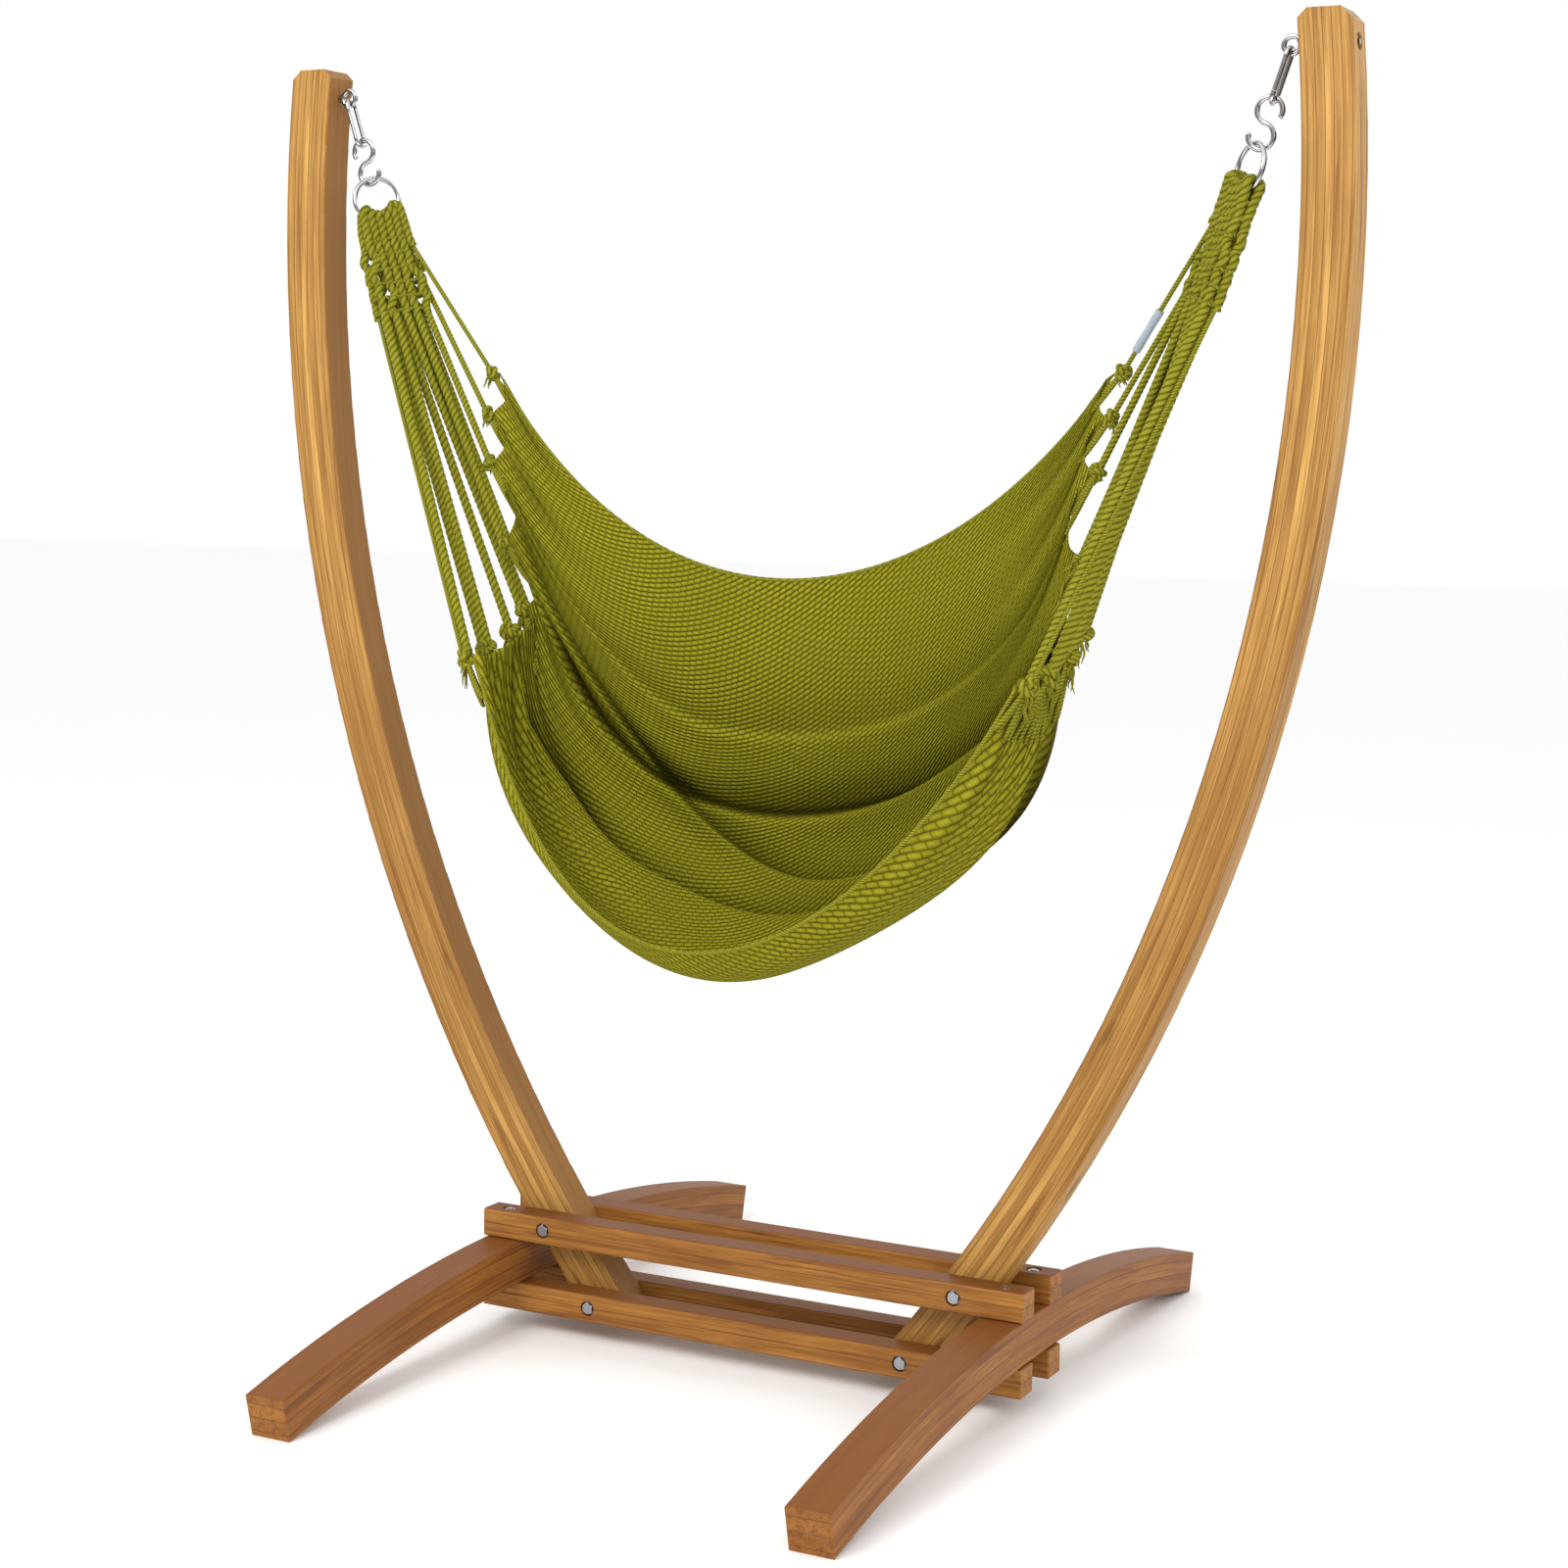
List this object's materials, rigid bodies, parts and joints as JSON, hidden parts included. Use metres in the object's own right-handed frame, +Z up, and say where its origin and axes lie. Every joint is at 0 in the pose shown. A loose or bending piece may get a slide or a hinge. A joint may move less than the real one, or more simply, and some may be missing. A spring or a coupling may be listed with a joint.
{
  "type": "hammock on stand",
  "caption": "Hammock chair of green-gold cloth, hung by corded sides and steel links between two curved laminated posts on arched timber feet.",
  "frame": {"origin": "on the floor, midway between the posts and midway between the ends of the feet", "axes": "+X to the right along the rails, +Y to the back, +Z up"},
  "size_m": [1.81, 1.42, 2.05],
  "materials": {
    "post_wood": "satin, laminated",
    "foot_wood": "satin, laminated",
    "rail_wood": "satin, laminated",
    "bolt_steel": "zinc plated",
    "hanging_steel": "polished",
    "cord": "twisted cotton",
    "seat_fabric": "woven cotton",
    "sleeve": "plain woven label"
  },
  "bodies": {
    "stand": {"foot_left": "foot_wood", "foot_right": "foot_wood", "upper_rail_front": "rail_wood", "upper_rail_back": "rail_wood", "lower_rail_front": "rail_wood", "lower_rail_back": "rail_wood", "post_left": "post_wood", "post_right": "post_wood", "post_bolts": "bolt_steel", "post_bolt_washers": "bolt_steel", "post_bolt_nuts": "bolt_steel", "foot_bolts": "bolt_steel", "foot_bolt_washers": "bolt_steel", "foot_bolt_nuts": "bolt_steel", "eye_bolt_left": "bolt_steel", "eye_bolt_right": "bolt_steel", "eye_washer_left": "bolt_steel", "eye_washer_right": "bolt_steel", "eye_nut_left": "bolt_steel", "eye_nut_right": "bolt_steel"},
    "link_left": {"snap_link_left": "hanging_steel"},
    "gate_left": {"link_gate_left": "hanging_steel", "gate_pin_left": "hanging_steel"},
    "hook_left": {"s_hook_left": "hanging_steel"},
    "link_right": {"snap_link_right": "hanging_steel"},
    "gate_right": {"link_gate_right": "hanging_steel", "gate_pin_right": "hanging_steel"},
    "hook_right": {"s_hook_right": "hanging_steel"},
    "hammock": {"ring_left": "hanging_steel", "ring_right": "hanging_steel", "woven_head_left": "cord", "woven_head_right": "cord", "side_knots_left": "cord", "side_knots_right": "cord", "suspension_cords_left": "cord", "suspension_cords_right": "cord", "label_sleeve": "sleeve", "seat_fabric": "seat_fabric"}
  },
  "joints": [
    {"name": "link_swing_left", "type": "hinge", "parent": "stand", "child": "link_left", "pos_m": [-0.79552, 0, 1.99361], "axis": [1, 0, 0], "range_deg": [-30, 30]},
    {"name": "hook_swing_left", "type": "hinge", "parent": "link_left", "child": "hook_left", "pos_m": [-0.77699, 0, 1.93791], "axis": [1, 0, 0], "range_deg": [-20, 20]},
    {"name": "gate_left_pivot", "type": "hinge", "parent": "link_left", "child": "gate_left", "pos_m": [-0.79173, -0.011, 1.98223], "axis": [0.9489, 0, 0.3156], "range_deg": [0, 18], "stiffness_Nm_per_rad": 0.05},
    {"name": "link_swing_right", "type": "hinge", "parent": "stand", "child": "link_right", "pos_m": [0.79552, 0, 1.99361], "axis": [1, 0, 0], "range_deg": [-30, 30]},
    {"name": "hook_swing_right", "type": "hinge", "parent": "link_right", "child": "hook_right", "pos_m": [0.77699, 0, 1.93791], "axis": [1, 0, 0], "range_deg": [-20, 20]},
    {"name": "gate_right_pivot", "type": "hinge", "parent": "link_right", "child": "gate_right", "pos_m": [0.79173, -0.011, 1.98223], "axis": [0.9489, 0, -0.3156], "range_deg": [0, 18], "stiffness_Nm_per_rad": 0.05},
    {"name": "hammock_swing", "type": "hinge", "parent": "hook_left", "child": "hammock", "pos_m": [-0.75278, 0, 1.86514], "axis": [1, 0, 0], "range_deg": [-20, 4]}
  ],
  "couplings": [
    {"joint": "link_swing_right", "follows": "link_swing_left", "ratio": 1},
    {"joint": "hook_swing_right", "follows": "hook_swing_left", "ratio": 1}
  ]
}
